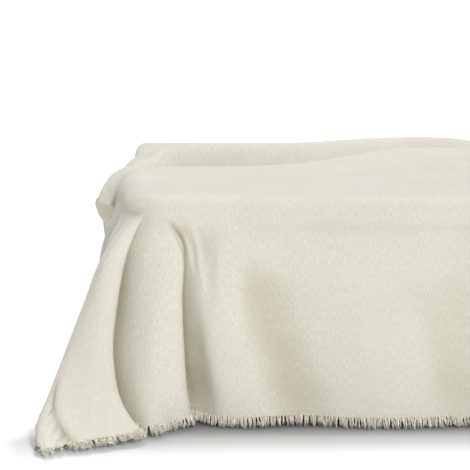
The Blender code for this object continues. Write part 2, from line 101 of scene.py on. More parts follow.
# %% The folds of the skirt
SECTIONS = (0.0, 0.17, 0.43, 0.68, 0.91, 1.0)
LEFT_CORNER = (
    # along, 42 cm, 30 cm, 18 cm, 7 cm, hem, hem height
    (-1.02, (-0.030, -0.510), (-0.050, -0.510), (-0.068, -0.512), (-0.082, -0.515), (-0.086, -0.515), 0.042),
    (-0.87, (-0.020, -0.365), (-0.034, -0.366), (-0.046, -0.370), (-0.056, -0.374), (-0.060, -0.375), 0.042),
    (-0.73, (-0.036, -0.245), (-0.062, -0.248), (-0.084, -0.256), (-0.104, -0.262), (-0.108, -0.264), 0.040),
    (-0.59, (-0.024, -0.128), (-0.036, -0.135), (-0.046, -0.148), (-0.054, -0.160), (-0.056, -0.164), 0.038),
    (-0.45, (-0.040, -0.045), (-0.068, -0.052), (-0.094, -0.062), (-0.118, -0.072), (-0.124, -0.075), 0.036),
    (-0.31, (-0.026, 0.000), (-0.040, 0.006), (-0.052, 0.010), (-0.062, 0.014), (-0.066, 0.015), 0.034),
    (-0.18, (-0.034, 0.020), (-0.070, 0.042), (-0.102, 0.074), (-0.132, 0.106), (-0.146, 0.118), 0.030),
    (-0.07, (-0.039, 0.038), (-0.091, 0.086), (-0.138, 0.142), (-0.180, 0.198), (-0.192, 0.218), 0.022),
    (0.00, (-0.033, 0.048), (-0.086, 0.100), (-0.129, 0.162), (-0.167, 0.228), (-0.171, 0.270), 0.019),
    (0.08, (-0.026, 0.056), (-0.066, 0.115), (-0.096, 0.168), (-0.110, 0.220), (-0.095, 0.250), 0.022),
    (0.16, (-0.006, 0.057), (-0.036, 0.117), (-0.052, 0.168), (-0.042, 0.207), (-0.020, 0.224), 0.026),
    (0.23, (0.013, 0.046), (-0.012, 0.099), (-0.019, 0.149), (0.010, 0.184), (0.042, 0.198), 0.028),
    (0.325, (0.012, 0.012), (-0.018, 0.032), (-0.034, 0.060), (-0.016, 0.092), (0.004, 0.116), 0.028),
    (0.42, (0.060, 0.042), (0.040, 0.074), (0.038, 0.104), (0.053, 0.142), (0.070, 0.168), 0.028),
    (0.50, (0.106, 0.048), (0.095, 0.088), (0.092, 0.114), (0.104, 0.130), (0.116, 0.132), 0.029),
    (0.56, (0.138, 0.042), (0.142, 0.071), (0.148, 0.092), (0.158, 0.104), (0.166, 0.106), 0.030),
    (0.615, (0.146, 0.012), (0.142, 0.012), (0.142, 0.014), (0.150, 0.028), (0.160, 0.058), 0.026),
    (0.66, (0.162, 0.018), (0.158, 0.025), (0.164, 0.028), (0.176, 0.040), (0.184, 0.062), 0.026),
    (0.70, (0.188, 0.026), (0.180, 0.046), (0.187, 0.048), (0.203, 0.062), (0.209, 0.080), 0.027),
    (0.75, (0.230, 0.030), (0.210, 0.060), (0.211, 0.076), (0.230, 0.090), (0.236, 0.100), 0.028),
    (0.84, (0.322, 0.031), (0.310, 0.056), (0.302, 0.078), (0.304, 0.098), (0.306, 0.110), 0.028),
)
RIGHT_CORNER = (
    (-1.05, (-0.026, -0.540), (-0.044, -0.540), (-0.060, -0.542), (-0.072, -0.545), (-0.076, -0.545), 0.042),
    (-0.86, (-0.034, -0.365), (-0.058, -0.368), (-0.080, -0.372), (-0.098, -0.378), (-0.102, -0.380), 0.040),
    (-0.68, (-0.022, -0.205), (-0.036, -0.210), (-0.046, -0.220), (-0.056, -0.228), (-0.058, -0.230), 0.040),
    (-0.50, (-0.040, -0.078), (-0.068, -0.086), (-0.092, -0.096), (-0.114, -0.104), (-0.120, -0.106), 0.038),
    (-0.34, (-0.026, -0.006), (-0.040, -0.002), (-0.050, 0.002), (-0.060, 0.004), (-0.064, 0.004), 0.034),
    (-0.19, (-0.040, 0.018), (-0.074, 0.038), (-0.106, 0.066), (-0.134, 0.094), (-0.142, 0.104), 0.030),
    (-0.07, (-0.046, 0.040), (-0.092, 0.088), (-0.136, 0.140), (-0.176, 0.190), (-0.178, 0.206), 0.022),
    (0.00, (-0.038, 0.054), (-0.080, 0.116), (-0.120, 0.178), (-0.158, 0.234), (-0.154, 0.260), 0.019),
    (0.11, (-0.012, 0.060), (-0.044, 0.118), (-0.064, 0.168), (-0.066, 0.212), (-0.052, 0.232), 0.024),
    (0.24, (0.024, 0.046), (0.006, 0.086), (0.004, 0.124), (0.024, 0.160), (0.044, 0.178), 0.028),
    (0.345, (0.040, 0.016), (0.024, 0.036), (0.016, 0.062), (0.022, 0.088), (0.030, 0.104), 0.028),
    (0.45, (0.082, 0.046), (0.072, 0.080), (0.074, 0.110), (0.088, 0.138), (0.100, 0.148), 0.029),
    (0.54, (0.134, 0.046), (0.136, 0.074), (0.142, 0.092), (0.154, 0.104), (0.162, 0.108), 0.030),
    (0.62, (0.158, 0.018), (0.156, 0.028), (0.158, 0.038), (0.166, 0.046), (0.172, 0.050), 0.030),
    (0.70, (0.200, 0.029), (0.200, 0.050), (0.204, 0.068), (0.212, 0.082), (0.218, 0.086), 0.030),
    (0.80, (0.284, 0.032), (0.282, 0.056), (0.282, 0.078), (0.284, 0.096), (0.286, 0.101), 0.030),
)
# Where the skirt hangs straight, a row holds only how far out it hangs at each height.
FOOT_PANEL = (
    (1.00, 0.030, 0.055, 0.079, 0.102, 0.114, 0.027),
    (1.20, 0.029, 0.054, 0.079, 0.102, 0.114, 0.027),
    (1.40, 0.030, 0.055, 0.079, 0.102, 0.114, 0.027),
)
LEFT_SIDE = (
    (-2.50, 0.024, 0.040, 0.052, 0.062, 0.066, 0.044),
    (-2.24, 0.044, 0.078, 0.086, 0.092, 0.094, 0.044),
    (-2.02, 0.076, 0.126, 0.120, 0.116, 0.116, 0.042),
    (-1.80, 0.040, 0.070, 0.080, 0.088, 0.092, 0.044),
    (-1.54, 0.024, 0.038, 0.050, 0.060, 0.064, 0.046),
    (-1.28, 0.028, 0.048, 0.066, 0.080, 0.085, 0.044),
)
RIGHT_SIDE = (
    (-2.50, 0.024, 0.040, 0.054, 0.064, 0.068, 0.044),
    (-2.22, 0.034, 0.060, 0.080, 0.096, 0.100, 0.042),
    (-1.92, 0.022, 0.036, 0.048, 0.058, 0.062, 0.046),
    (-1.62, 0.032, 0.056, 0.076, 0.092, 0.096, 0.044),
    (-1.32, 0.022, 0.038, 0.050, 0.060, 0.064, 0.044),
)


def fold_rows(corner, side):
    """All rows of one half of the skirt in one form: along, inward and outward at each height, hem."""
    to_outward = -FOOT_HEM_V - HALF_LENGTH
    to_inward = HALF_WIDTH - CLOTH_WIDTH / 2
    rows = [(along, [(-out, along + to_outward) for out in outs], hem) for along, *outs, hem in side]
    rows += [(along, pairs, hem) for along, *pairs, hem in corner]
    rows += [(along, [(along + to_inward, out) for out in outs], hem) for along, *outs, hem in FOOT_PANEL]
    return rows


HALVES = {-1: fold_rows(LEFT_CORNER, LEFT_SIDE), 1: fold_rows(RIGHT_CORNER, RIGHT_SIDE)}
print("fold lines:", {half: len(rows) for half, rows in HALVES.items()})

# %% [markdown]
# A cloth has no sharp steps between its folds, so the rows are joined by smooth curves, both along
# the hem and down from the bed edge. These are cubic curves whose slope at each row comes from
# the rows beside it, the way a spline through pins would bend.

# %% Smooth curves between the rows
FIRST_SLOPE = 0.7


def slopes(width, slope, first_share=1.0):
    inner = (slope[:-1] * width[1:] + slope[1:] * width[:-1]) / (width[1:] + width[:-1])
    return np.concatenate([slope[:1] * first_share, inner, slope[-1:]])


def smooth(knots, values, at):
    """A smooth curve through values at knots, read at each place, straight past both ends."""
    knots, values, at = np.asarray(knots), np.asarray(values, float), np.asarray(at, float)
    width = np.diff(knots)
    tangent = slopes(width, np.diff(values) / width)
    i = np.clip(np.searchsorted(knots, at) - 1, 0, len(width) - 1)
    near = np.clip(at, knots[0], knots[-1])
    x = (near - knots[i]) / width[i]
    curve = values[i] + x * x * (3 - 2 * x) * (values[i + 1] - values[i])
    curve = curve + width[i] * x * (1 - x) * ((1 - x) * tangent[i] - x * tangent[i + 1])
    return curve + (at - near) * np.where(at < near, tangent[0], tangent[-1])


def column_curve(column, drop):
    """A smooth curve down each column of sections, with a milder slope where it leaves the bed edge."""
    width = np.diff(SECTIONS)[:, None]
    tangent = slopes(width, np.diff(column, axis=0) / width, FIRST_SLOPE)
    near = np.clip(drop, 0, 1)
    i = np.clip(np.searchsorted(SECTIONS, near) - 1, 0, len(SECTIONS) - 2)
    j = np.arange(column.shape[1])
    step = width[i, 0]
    x = (near - np.asarray(SECTIONS)[i]) / step
    curve = column[i, j] + x * x * (3 - 2 * x) * (column[i + 1, j] - column[i, j])
    curve = curve + step * x * (1 - x) * ((1 - x) * tangent[i, j] - x * tangent[i + 1, j])
    return curve + (drop - near) * tangent[-1]


def edge_place(along):
    """Where the skirt leaves the bed edge, inward and outward, and the cloth's reach on that line."""
    on_foot = np.clip((SIDE_REACH - along) / FOOT_REACH, 0, None)
    on_side = np.clip((FOOT_REACH + along) / SIDE_REACH, 0, None)
    turn = np.where(along > 0, np.arctan(on_foot), math.pi / 2 - np.arctan(on_side))
    inward = CORNER_RADIUS - SKIRT_OUT * np.sin(turn) + np.clip(along - SIDE_REACH, 0, None)
    outward = SKIRT_OUT * np.cos(turn) - CORNER_RADIUS + np.clip(along + FOOT_REACH, None, 0)
    foot_reach = FOOT_REACH / np.cos(np.arctan(on_foot))
    side_reach = SIDE_REACH / np.cos(np.arctan(on_side))
    return inward, outward, np.where(along > 0, foot_reach, side_reach)


def skirt_point(half, along, drop):
    """A point of the skirt at a share of the drop from the bed edge (0) to the hem (1)."""
    rows = HALVES[half]
    knots = [row[0] for row in rows]
    inward, outward, _ = edge_place(along)
    level = [[inward, outward]]
    for section in range(len(SECTIONS) - 1):
        level.append([smooth(knots, [row[1][section][axis] for row in rows], along) for axis in (0, 1)])
    hem = smooth(knots, [row[2] for row in rows], along)
    into, out = (column_curve(np.array([pair[axis] for pair in level]), drop) for axis in (0, 1))
    return half * (HALF_WIDTH - into), -HALF_LENGTH - out, EDGE_Z + drop * (hem - EDGE_Z)


sample = skirt_point(-1, np.array([0.0, 0.56, 1.0]), np.array([1.0, 1.0, 1.0]))
print("hem at the corner, the second fold and the panel:", np.round(np.stack(sample, axis=1), 3).tolist())

# %% [markdown]
# Two long folds cross the top, where the cloth was pulled towards the head and let go. The first
# is a ridge that rises gently from the foot and drops in a sharp step on the head's side, where it
# leans over the cloth behind it. The second is a thick roll whose left end hangs open over the
# side and droops. Over these come creases of a few millimetres and dents of up to two centimetres.
# All are written as lines of the flat cloth, each with its lift and two widths, and a line may bend.

# %% Folds and creases of the flat cloth
RIDGE = (
    # u, v and lift along the ridge that crosses the bed, from its left side to its right
    (-1.040, -0.860, 0.0), (-0.860, -0.700, 0.022), (-0.660, -0.535, 0.024), (-0.520, -0.465, 0.020),
    (-0.330, -0.430, 0.018), (-0.080, -0.260, 0.020), (0.300, 0.290, 0.020), (0.600, 0.400, 0.018),
    (0.860, 0.430, 0.0),
)
ROLL = (
    # the same along the thick roll behind the ridge, whose left end hangs open over the side
    (-0.778, -0.588, 0.0), (-0.748, -0.562, 0.082), (-0.726, -0.543, 0.072), (-0.700, -0.518, 0.046),
    (-0.672, -0.488, 0.036), (-0.635, -0.450, 0.048), (-0.580, -0.405, 0.074), (-0.470, -0.370, 0.084),
    (-0.310, -0.330, 0.084), (-0.100, -0.170, 0.076), (0.270, 0.375, 0.058), (0.580, 0.480, 0.050),
    (0.860, 0.510, 0.0),
)


STEPS_BETWEEN = 4


def rounded(places):
    """The same line with more places between each two, on a smooth curve through them."""
    at = np.linspace(0, len(places) - 1, STEPS_BETWEEN * (len(places) - 1) + 1)
    columns = [smooth(range(len(places)), column, at) for column in zip(*places)]
    return [tuple(place) for place in np.stack(columns, axis=1)]


RIDGE_PLACES = rounded(RIDGE)
TOP_FOLDS = (
    # places of the line with the lift at each, width on its right, width on its left
    (RIDGE_PLACES, 0.200, 0.026),
    (rounded(ROLL), 0.058, 0.240),
)
# The ridge leans over the cloth behind it, and the end of the roll droops.
LEAN_WIDTH = 0.036
LEAN_BACK = 0.3
LEAN_REACH = 0.026
LEAN_ENDS = 4
DROOP_PLACE = (-0.750, -0.562)
DROOP_WIDTH = 0.055
DROOP = 0.012
CREASES = (
    # the wrinkles that cross the top near the foot
    (((-0.5, -0.905, 0), (-0.3, -0.915, 0.002), (-0.05, -0.9, 0)), 0.014, 0.014),
    (((-0.42, -0.85, 0), (-0.15, -0.862, 0.0024), (0.1, -0.85, 0)), 0.02, 0.016),
    (((-0.25, -0.78, 0), (0.05, -0.79, 0.0026), (0.36, -0.77, 0)), 0.022, 0.018),
    (((0.05, -0.905, 0), (0.28, -0.895, 0.0018), (0.52, -0.91, 0)), 0.016, 0.014),
    (((-0.52, -0.74, 0), (-0.36, -0.725, 0.0022), (-0.2, -0.735, 0)), 0.022, 0.02),
    (((0.15, -0.7, 0), (0.34, -0.71, 0.0026), (0.55, -0.695, 0)), 0.024, 0.02),
    # the long soft wrinkles behind them
    (((-0.02, -0.3, 0), (0.28, -0.39, 0.006), (0.62, -0.37, 0.005), (0.8, -0.34, 0)), 0.035, 0.06),
    (((0.14, 0.02, 0), (0.36, -0.09, 0.006), (0.64, -0.15, 0.005), (0.8, -0.17, 0)), 0.035, 0.06),
    (((0.05, -0.56, 0), (0.33, -0.6, 0.004), (0.64, -0.57, 0.004), (0.8, -0.55, 0)), 0.03, 0.05),
    # the soft dents of the foot panel
    (((-0.39, -1.06, 0), (-0.34, -1.2, -0.014), (-0.29, -1.36, -0.021), (-0.25, -1.52, -0.018)),
     0.105, 0.12),
    (((-0.18, -1.05, 0), (-0.14, -1.18, 0.009), (-0.09, -1.34, 0.01), (-0.04, -1.52, 0.006)), 0.11, 0.16),
    (((0.06, -1.1, 0), (0.08, -1.26, -0.004), (0.1, -1.42, -0.006), (0.13, -1.52, -0.004)), 0.1, 0.12),
    (((0.2, -1.08, 0), (0.22, -1.22, 0.007), (0.24, -1.5, 0.006)), 0.1, 0.12),
    # the turned edge at the tip of the left corner
    (((-1.09, -1.36, 0), (-1.128, -1.43, -0.014), (-1.148, -1.5, -0.022)), 0.02, 0.03),
    (((-1.13, -1.37, 0), (-1.165, -1.43, 0.01), (-1.186, -1.5, 0.014)), 0.018, 0.02),
    # the hollow that runs from the top of the second fold into the panel
    (((-0.52, -1.04, 0), (-0.485, -1.105, -0.01), (-0.455, -1.2, -0.006), (-0.45, -1.3, 0)), 0.026, 0.034),
    # the short creases that run into the second fold
    (((-0.6, -1.045, 0), (-0.575, -1.095, -0.006), (-0.55, -1.15, 0)), 0.014, 0.022),
    (((-0.57, -1.03, 0), (-0.525, -1.11, -0.007), (-0.5, -1.19, 0)), 0.016, 0.022),
    (((-0.48, -1.045, 0), (-0.46, -1.11, -0.004), (-0.45, -1.17, 0)), 0.018, 0.02),
)


def across_line(u, v, line):
    """For each point, its distance from a bent line, its side, and the line's way and place there."""
    best = np.full(u.shape, np.inf)
    side, along = np.zeros(u.shape), np.zeros(u.shape)
    way = np.zeros((*u.shape, 2))
    for n, ((u0, v0, *_), (u1, v1, *_)) in enumerate(zip(line, line[1:])):
        length = math.hypot(u1 - u0, v1 - v0)
        ax, ay = (u1 - u0) / length, (v1 - v0) / length
        run = np.clip(((u - u0) * ax + (v - v0) * ay) / length, 0, 1)
        off = np.hypot(u - u0 - run * (u1 - u0), v - v0 - run * (v1 - v0))
        closer = off < best
        side = np.where(closer, (v - v0) * ax - (u - u0) * ay, side)
        along = np.where(closer, n + run, along)
        way = np.where(closer[:, None], (ax, ay), way)
        best = np.minimum(best, off)
    return best, side, way, along


def eased(share):
    """The same share from 0 to 1 with a soft start and a soft end."""
    return share * share * (3 - 2 * share)


def line_lift(u, v, places, right, left):
    """The lift that one bent line gives: a smooth hump across it, smoothly changing along it."""
    off, side, _, along = across_line(u, v, places)
    near = np.clip(1 - off / np.where(side < 0, right, left), 0, 1)
    return np.interp(along, range(len(places)), [lift for *_, lift in places]) * eased(near)


def cloth_lift(u, v):
    return sum(line_lift(u, v, *line) for line in (*TOP_FOLDS, *CREASES))


def lean_shift(u, v):
    """How far the ridge leans over the cloth behind it, as a move in u and v."""
    off, side, way, along = across_line(u, v, RIDGE_PLACES)
    signed = np.where(side < 0, -off, off)
    to_end = np.minimum(along, len(RIDGE_PLACES) - 1 - along)
    near = np.clip(1 - np.abs(signed + LEAN_WIDTH * LEAN_BACK) / LEAN_WIDTH, 0, 1)
    push = LEAN_REACH * np.clip(to_end / LEAN_ENDS, 0, 1) * eased(near)
    return -way[:, 1] * push, way[:, 0] * push


def droop(u, v):
    """How far the roll's open end sinks."""
    near = np.clip(1 - np.hypot(u - DROOP_PLACE[0], v - DROOP_PLACE[1]) / DROOP_WIDTH, 0, 1)
    return DROOP * eased(near)


def cloth_point(u, v):
    """Where points of the flat cloth lie on the bed, as an array of x, y and z."""
    u, v = np.asarray(u, float), np.asarray(v, float)
    points = np.zeros((len(u), 3))
    side = np.clip(np.abs(u) - CORE_X, 0, None)
    foot = np.clip(-CORE_Y - v, 0, None)
    far = np.hypot(side, foot)
    turn = np.arctan2(side, foot)
    outward = np.stack([np.sign(u) * np.sin(turn), -np.cos(turn)], axis=1) * (far > 0)[:, None]
    bend = np.clip((far - ARC_START) / EDGE_RADIUS, 0, math.pi / 2)
    run = np.minimum(far, ARC_START) + EDGE_RADIUS * np.sin(bend)
    points[:, 0] = np.clip(u, -CORE_X, CORE_X) + outward[:, 0] * run
    points[:, 1] = np.maximum(v, -CORE_Y) + outward[:, 1] * run
    points[:, 2] = EDGE_Z + EDGE_RADIUS * np.cos(bend)
    on_foot = (side * FOOT_REACH <= foot * SIDE_REACH) & (foot > 0)
    past = CORE_X + FOOT_REACH * side / np.maximum(foot, TINY)
    foot_along = CLOTH_WIDTH / 2 - np.where(side > 0, past, np.abs(u))
    past = SIDE_REACH * foot / np.maximum(side, TINY) - FOOT_REACH
    side_along = np.where(foot > 0, past, FOOT_HEM_V - v)
    along = np.where(on_foot, foot_along, side_along)
    for half in (-1, 1):
        hangs = (far > ARC_END) & ((u < 0) == (half < 0))
        if hangs.any():
            reach = edge_place(along[hangs])[2]
            drop = (far[hangs] - ARC_END) / (reach - ARC_END)
            points[hangs] = np.stack(skirt_point(half, along[hangs], drop), axis=1)
    shift_u, shift_v = lean_shift(u, v)
    lift = cloth_lift(u, v)
    points[:, :2] += outward * (lift * np.sin(bend))[:, None]
    points[:, 2] += lift * np.cos(bend) - np.sign(u) * shift_u * np.sin(bend)
    points[:, 2] -= droop(u, v)
    points[:, 0] += shift_u * np.cos(bend)
    points[:, 1] += shift_v
    return points


print("folds across the top:", len(TOP_FOLDS), "creases and dents:", len(CREASES))

# %% [markdown]
# The mesh of the cloth is laid flat first, as the real cloth is woven flat. The middle, the two
# sides and the foot are plain grids. Each foot corner is a fan, because there the folds run out
# from the mattress corner like spokes, and lines of the mesh that follow a fold show it best with
# the fewest faces. The grids are welded, every point is moved to its place on the bed, and its
# flat place is kept as a UV map in metres, so that the weave later runs with the threads. A second
# map says how deep in a tuck each point lies: its distance behind the mean of six places round it.
# The weave paints shade into the tucks by this map.

# %% The cloth's fine mesh
FINE = 0.0145
FINE_BANDS = (
    (RIDGE, 0.055),
    (ROLL[:7], 0.050),
    (((-0.60, -1.03), (-0.46, -1.17)), 0.050),
)
FINE_CUTS = 2
FLAT_STEPS = 4
ARC_STEPS = 7
SKIRT_STEPS = 30
CORNER_STEPS = 42
WELD = 1e-5
# These set the map of tucks, which places painted shade in the weave's colour.
TUCK_REACH = 0.060
TUCK_TURNS = [math.radians(turn) for turn in (0, 60, 120, 180, 240, 300)]
TUCK_STEP = 0.004
TUCK_FULL = 0.0095
# On the sides the tucks get only this share of the painted shade, and all of it from here towards the foot
TUCK_ON_SIDES = 0.15
TUCK_FROM_V = -0.8
TUCK_RISE = 5.0


def ring_distances(reach):
    """How far each ring of the skirt's mesh lies from the core, for a line of the cloth's reach."""
    flat = [ARC_START * step / FLAT_STEPS for step in range(FLAT_STEPS)]
    arc = [ARC_START + (ARC_END - ARC_START) * step / ARC_STEPS for step in range(ARC_STEPS + 1)]
    hang = [ARC_END + (reach - ARC_END) * step / SKIRT_STEPS for step in range(1, SKIRT_STEPS + 1)]
    return np.array([*flat, *arc, *hang])


def add_patch(bm, rows):
    """One grid of the flat cloth. Each row is a list of (u, v)."""
    made = [[bm.verts.new((u, v, 0)) for u, v in row] for row in rows]
    for low, high in zip(made, made[1:]):
        for a, b, c, d in zip(low, low[1:], high[1:], high):
            if a.co != b.co:
                bm.faces.new((a, b, c, d))
            else:
                bm.faces.new((a, c, d))


def fine_edges(bm):
    """The edges near the sharp folds, which get more points."""
    edges = list(bm.edges)
    middle = np.array([((edge.verts[0].co + edge.verts[1].co) / 2)[:2] for edge in edges])
    near = np.zeros(len(edges), bool)
    for line, width in FINE_BANDS:
        near |= across_line(middle[:, 0], middle[:, 1], line)[0] < width
    return [edge for edge, is_near in zip(edges, near) if is_near]


def flat_cloth():
    """The cloth's mesh laid flat: a middle, three skirts and two fanned corners, welded."""
    bm = bmesh.new()
    across = np.linspace(-CORE_X, CORE_X, round(2 * CORE_X / FINE) + 1)
    length = np.linspace(-CORE_Y, HEAD_HEM_V, round((CORE_Y + HEAD_HEM_V) / FINE) + 1)
    add_patch(bm, [[(u, v) for u in across] for v in length])
    add_patch(bm, [[(u, -CORE_Y - far) for u in across] for far in ring_distances(FOOT_REACH)])
    for half in (-1, 1):
        add_patch(bm, [[(half * (CORE_X + far), v) for v in length] for far in ring_distances(SIDE_REACH)])
        on_foot = np.linspace(SIDE_REACH, 0, CORNER_STEPS + 1)
        on_side = np.linspace(0, -FOOT_REACH, CORNER_STEPS + 1)
        fan = []
        for along in (*on_foot, *on_side[1:]):
            inward, outward, reach = (float(value) for value in edge_place(np.array(along)))
            sine, cosine = (CORNER_RADIUS - inward) / SKIRT_OUT, (CORNER_RADIUS + outward) / SKIRT_OUT
            far = ring_distances(reach)
            fan.append(list(zip(half * (CORE_X + far * sine), -CORE_Y - far * cosine)))
        add_patch(bm, [list(ring) for ring in zip(*fan)])
    bmesh.ops.remove_doubles(bm, verts=bm.verts, dist=WELD)
    bmesh.ops.subdivide_edges(bm, edges=fine_edges(bm), cuts=FINE_CUTS, use_grid_fill=True)
    return bm


def unit(vectors):
    return vectors / np.linalg.norm(vectors, axis=-1, keepdims=True)


def tuck_depth(u, v):
    """How far the cloth lies behind what is round it, from 0 on the flat to 1 in a deep tuck, as the mask of
    painted shade.
    """
    place = cloth_point(u, v)
    face = unit(np.cross(cloth_point(u + TUCK_STEP, v) - place, cloth_point(u, v + TUCK_STEP) - place))
    mean = np.zeros(place.shape)
    for turn in TUCK_TURNS:
        across = np.clip(u + math.cos(turn) * TUCK_REACH, -CLOTH_WIDTH / 2, CLOTH_WIDTH / 2)
        along = np.clip(v + math.sin(turn) * TUCK_REACH, FOOT_HEM_V, HEAD_HEM_V)
        mean += cloth_point(across, along) / len(TUCK_TURNS)
    share = np.clip(TUCK_RISE * (TUCK_FROM_V - v), TUCK_ON_SIDES, 1)
    return np.clip(((mean - place) * face).sum(axis=1) * share / TUCK_FULL, 0, 1)


def lay_cloth():
    bm = flat_cloth()
    bmesh.ops.recalc_face_normals(bm, faces=bm.faces)
    if sum(face.normal.z for face in bm.faces) < 0:
        bmesh.ops.reverse_faces(bm, faces=bm.faces)
    flat_map = bm.loops.layers.uv.new("flat")
    tuck_shade_map = bm.loops.layers.uv.new("tuck")
    flat = np.array([vert.co[:] for vert in bm.verts])
    depth = tuck_depth(flat[:, 0], flat[:, 1]).tolist()
    bm.verts.index_update()
    for face in bm.faces:
        for loop in face.loops:
            loop[flat_map].uv = loop.vert.co.xy
            loop[tuck_shade_map].uv = (depth[loop.vert.index], 0)
    for vert, place in zip(bm.verts, cloth_point(flat[:, 0], flat[:, 1])):
        vert.co = place
    for edge in bm.edges:
        edge.smooth = not edge.is_boundary
    mesh = bpy.data.meshes.new("bedspread_cloth")
    bm.to_mesh(mesh)
    bm.free()
    mesh.shade_smooth()
    cloth = bpy.data.objects.new("bedspread_cloth", mesh)
    bpy.context.scene.collection.objects.link(cloth)
    body = cloth.modifiers.new("Thickness", "SOLIDIFY")
    body.thickness = CLOTH_THICKNESS
    body.offset = 0
    return cloth


cloth = lay_cloth()
print("cloth faces:", len(cloth.data.polygons))

# %% [markdown]
# Materials here are sums of waves and noise, so it helps to write them as sums. This small class
# wraps a socket of the node tree. Python's own operators then add the Math nodes, and one method
# adds any other node, so that the formulas below can be read like formulas.

# %% A class for shader formulas
class Wire:
    """One output socket of a material's nodes, to be used in formulas."""

    def __init__(self, tree, socket):
        self.tree = tree
        self.socket = socket

    def node(self, kind, output=0, settings=None, **inputs):
        """Adds a node of this kind. Settings come first, then the values or links of its sockets."""
        made = self.tree.nodes.new(kind)
        for name, value in (settings or {}).items():
            setattr(made, name, value)
        for name, value in inputs.items():
            key = int(name[1:]) if name[0] == "i" and name[1:].isdigit() else name.replace("_", " ")
            if isinstance(value, Wire):
                self.tree.links.new(value.socket, made.inputs[key])
            else:
                made.inputs[key].default_value = value
        return Wire(self.tree, made.outputs[output])

    def maths(self, operation, *others):
        values = {f"i{n + 1}": value for n, value in enumerate(others)}
        return self.node("ShaderNodeMath", 0, {"operation": operation}, i0=self, **values)

    def other(self, output):
        """Another output of the same node."""
        return Wire(self.tree, self.socket.node.outputs[output])

    def __add__(self, other):
        return self.maths("ADD", other)

    def __mul__(self, other):
        return self.maths("MULTIPLY", other)

    __rmul__ = __mul__

    def __sub__(self, other):
        return self.maths("SUBTRACT", other)

    def __rsub__(self, other):
        return (self * -1) + other

    def sine(self):
        return self.maths("SINE")

    def clamp(self, low, high):
        return self.maths("MAXIMUM", low).maths("MINIMUM", high)

    def ramp(self, start, end):
        """0 up to the start, 1 past the end, and even in between."""
        slope = 1 / (end - start)
        return (self * slope - start * slope).clamp(0, 1)

    def mix(self, low, high):
        """A colour between low and high by this factor."""
        a, b = ((*c, 1) if isinstance(c, tuple) else c for c in (low, high))
        return self.node("ShaderNodeMix", 2, {"data_type": "RGBA"}, i0=self, i6=a, i7=b)


def start_material(name, roughness, sheen=0.0):
    """A material with its shader, and a Wire to start its formulas from."""
    material = bpy.data.materials.new(name)
    material.use_nodes = True
    tree = material.node_tree
    shader = tree.nodes["Principled BSDF"]
    shader.inputs["Roughness"].default_value = roughness
    shader.inputs["Sheen Weight"].default_value = sheen
    shader.inputs["Sheen Roughness"].default_value = 0.5
    shader.inputs["Specular IOR Level"].default_value = 0.25
    return material, shader, Wire(tree, None)


def finish_material(shader, colour, height, distance, strength):
    """Links a colour, and a height in units of distance as bump."""
    colour.tree.links.new(colour.socket, shader.inputs["Base Color"])
    bump = height.node("ShaderNodeBump", 0, None, Strength=strength, Distance=distance, Height=height)
    colour.tree.links.new(bump.socket, shader.inputs["Normal"])


print("shader formulas ready")

# %% [markdown]
# The bedspread is a soft chenille-like weave in ecru. From a step away it shows fine streaks along
# the warp, a few centimetres long and a few millimetres wide, where thick and thin yarn follow
# each other. Close up there are the threads themselves. Both are read from the flat map: noise
# that is stretched along v makes the streaks, and two sets of waves make warp and weft. The
# streaks are in the colour as well as in the bump, as thick yarn catches more light. In the tucks
# the tuck map mixes in a darker, warmer copy of the colour, which is painted shade.

# %% The bedspread's weave
SPREAD_DARK = (0.520, 0.490, 0.385)
SPREAD_LIGHT = (0.735, 0.715, 0.610)
# The darker, warmer colours of the painted shade in the tucks
TUCK_PAINTED_SHADE_DARK = (0.364, 0.333, 0.216)
TUCK_PAINTED_SHADE_LIGHT = (0.515, 0.486, 0.342)
# The noises' scales across and along the warp, and the threads' wave numbers, all per metre
STREAKS = (430, 88, 1)
SLUBS = (260, 60, 1)
CLOUDS = (5, 5, 1)
WANDER = (40, 40, 1)
WARP_WAVE = 3900
WEFT_WAVE = 3100
CONTRAST = 1.35


def streak_noise(start, place, scales, detail):
    scaled = start.node("ShaderNodeVectorMath", 0, {"operation": "MULTIPLY"}, i0=place, i1=scales)
    return start.node("ShaderNodeTexNoise", 0, {"noise_dimensions": "2D"},
                      Vector=scaled, Scale=1.0, Detail=detail, Roughness=0.5)


def weave_material():
    material, shader, start = start_material("spread_weave", 0.92, sheen=0.15)
    place = start.node("ShaderNodeUVMap", 0, {"uv_map": "flat"})
    u = place.node("ShaderNodeSeparateXYZ", 0, None, Vector=place)
    v = u.other(1)
    streaks = streak_noise(start, place, STREAKS, 2.0)
    slubs = streak_noise(start, place, SLUBS, 1.0)
    cloud = streak_noise(start, place, CLOUDS, 2.0)
    wander = streak_noise(start, place, WANDER, 1.0)
    warp = (u * WARP_WAVE + wander * 5).sine()
    weft = (v * WEFT_WAVE + wander * 4).sine()
    tone = streaks * 0.60 + slubs * 0.25 + cloud * 0.15
    tone = ((tone - 0.5) * CONTRAST + 0.5 + warp * weft * 0.04).clamp(0, 1)
    height = streaks * 0.9 + slubs * 0.6 + warp * 0.16 + weft * 0.10
    tuck = place.node("ShaderNodeUVMap", 0, {"uv_map": "tuck"})
    tuck = tuck.node("ShaderNodeSeparateXYZ", 0, None, Vector=tuck)
    # Painted shade: the tuck map mixes a darker, warmer copy of the colour into the tucks.
    colour = tuck.mix(tone.mix(SPREAD_DARK, SPREAD_LIGHT), tone.mix(TUCK_PAINTED_SHADE_DARK, TUCK_PAINTED_SHADE_LIGHT))
    finish_material(shader, colour, height, 0.0010, 0.5)
    return material


weave = weave_material()
cloth.data.materials.append(weave)
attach(cloth, "root")
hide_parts("bedspread")
print("weave nodes:", len(weave.node_tree.nodes))

